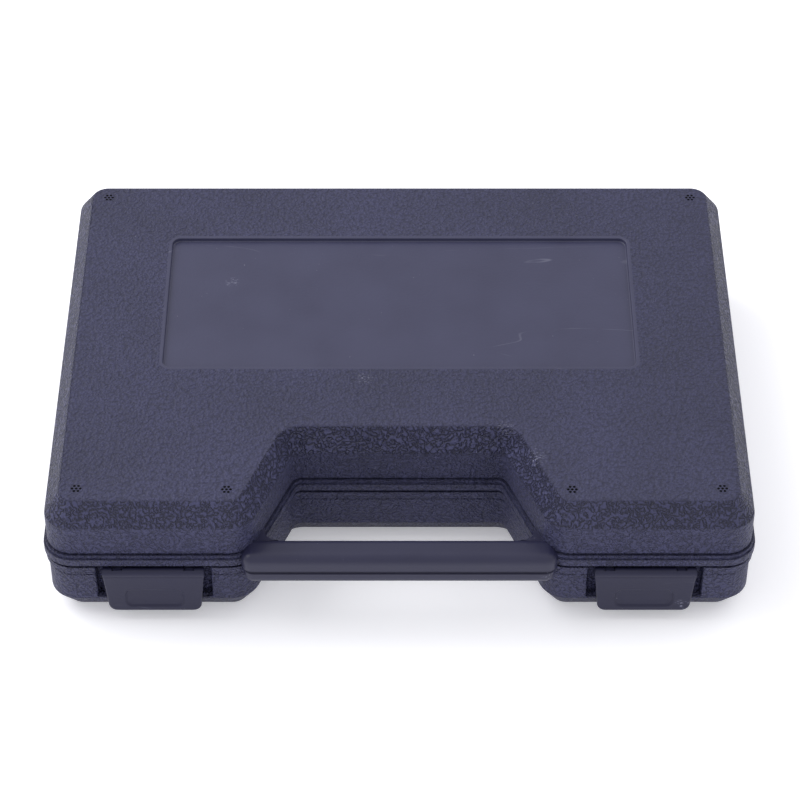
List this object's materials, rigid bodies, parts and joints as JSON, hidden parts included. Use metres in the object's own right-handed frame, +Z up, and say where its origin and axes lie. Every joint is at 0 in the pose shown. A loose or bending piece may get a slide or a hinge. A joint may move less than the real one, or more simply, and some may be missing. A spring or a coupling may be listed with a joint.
{
  "type": "socket wrench set in case",
  "caption": "Closed moulded carry case with hand recess, folding latches and hinged lid, holding a small ratchet, sockets, bars, driver bits and keys in a tray.",
  "frame": {"origin": "centre of the case body, at the height of its flat underside", "axes": "+X along the long side, to the right when the handle faces the user; +Y from the handle side to the hinge side; +Z up through the lid"},
  "size_m": [0.24, 0.1837, 0.05],
  "materials": {
    "case_moulding": "grained moulded polypropylene",
    "latch_moulding": "smooth moulded polypropylene",
    "tray_moulding": "fine matt moulded tray",
    "foam": "closed-cell foam",
    "pin_steel": "drawn wire",
    "tool_chrome": "satin chrome plating",
    "gear_steel": "ground steel",
    "grip_moulding": "moulded grip",
    "rack_moulding": "moulded rack",
    "bit_steel": "phosphated steel",
    "black_steel": "black oxide"
  },
  "bodies": {
    "case_base": {"base_shell": "case_moulding", "bit_adapter": "tool_chrome", "bit_cross_1": "bit_steel", "bit_cross_2": "bit_steel", "bit_cross_3": "bit_steel", "bit_hex_3": "bit_steel", "bit_hex_4": "bit_steel", "bit_hex_5": "bit_steel", "bit_rack_left": "rack_moulding", "bit_rack_right": "rack_moulding", "bit_slot_4": "bit_steel", "bit_slot_5": "bit_steel", "bit_slot_6": "bit_steel", "bit_star_15": "bit_steel", "bit_star_20": "bit_steel", "bit_star_25": "bit_steel", "cover_screws": "black_steel", "extension_bar_long": "tool_chrome", "extension_bar_short": "tool_chrome", "hex_key_2mm": "black_steel", "hex_key_3mm": "black_steel", "hex_key_4mm": "black_steel", "hinge_pin_left": "pin_steel", "hinge_pin_right": "pin_steel", "latch_pocket_left": "case_moulding", "latch_pocket_right": "case_moulding", "ratchet_cover": "tool_chrome", "ratchet_grip": "grip_moulding", "ratchet_handle": "tool_chrome", "socket_10mm": "tool_chrome", "socket_11mm": "tool_chrome", "socket_12mm": "tool_chrome", "socket_13mm": "tool_chrome", "socket_5_5mm": "tool_chrome", "socket_5mm": "tool_chrome", "socket_6mm": "tool_chrome", "socket_7mm": "tool_chrome", "socket_8mm": "tool_chrome", "socket_9mm": "tool_chrome", "spinner_grip": "pin_steel", "spinner_shank": "pin_steel", "tbar_rod": "tool_chrome", "tool_tray": "tray_moulding"},
    "lid": {"lid_shell": "case_moulding", "lid_foam": "foam", "latch_pin_left": "pin_steel", "latch_pin_right": "pin_steel"},
    "latch_left": {"latch_left": "latch_moulding"},
    "latch_right": {"latch_right": "latch_moulding"},
    "drive_gear": {"drive_gear": "gear_steel", "gear_detent_ball": "gear_steel"},
    "reversing_lever": {"reversing_lever": "tool_chrome", "ratchet_pawl": "gear_steel"},
    "tbar_head": {"tbar_head": "tool_chrome"}
  },
  "joints": [
    {"name": "lid_hinge", "type": "hinge", "parent": "case_base", "child": "lid", "pos_m": [0, 0.0908, 0.025], "axis": [-1, 0, 0], "range_deg": [0, 180]},
    {"name": "latch_left_swing", "type": "hinge", "parent": "lid", "child": "latch_left", "pos_m": [-0.0828, -0.0871, 0.022], "axis": [-1, 0, 0], "range_deg": [0, 100]},
    {"name": "latch_right_swing", "type": "hinge", "parent": "lid", "child": "latch_right", "pos_m": [0.0828, -0.0871, 0.022], "axis": [-1, 0, 0], "range_deg": [0, 100]},
    {"name": "ratchet_drive_turn", "type": "hinge", "parent": "case_base", "child": "drive_gear", "pos_m": [-0.099, 0.0664, 0.02025], "axis": [0, 0, 1], "continuous": true},
    {"name": "reversing_lever_turn", "type": "hinge", "parent": "case_base", "child": "reversing_lever", "pos_m": [-0.08985, 0.0664, 0.0243], "axis": [0, 0, 1], "range_deg": [0, 40]},
    {"name": "tbar_head_slide", "type": "slide", "parent": "case_base", "child": "tbar_head", "axis": [1, 0, 0], "range_m": [-0.042, 0.042]}
  ]
}
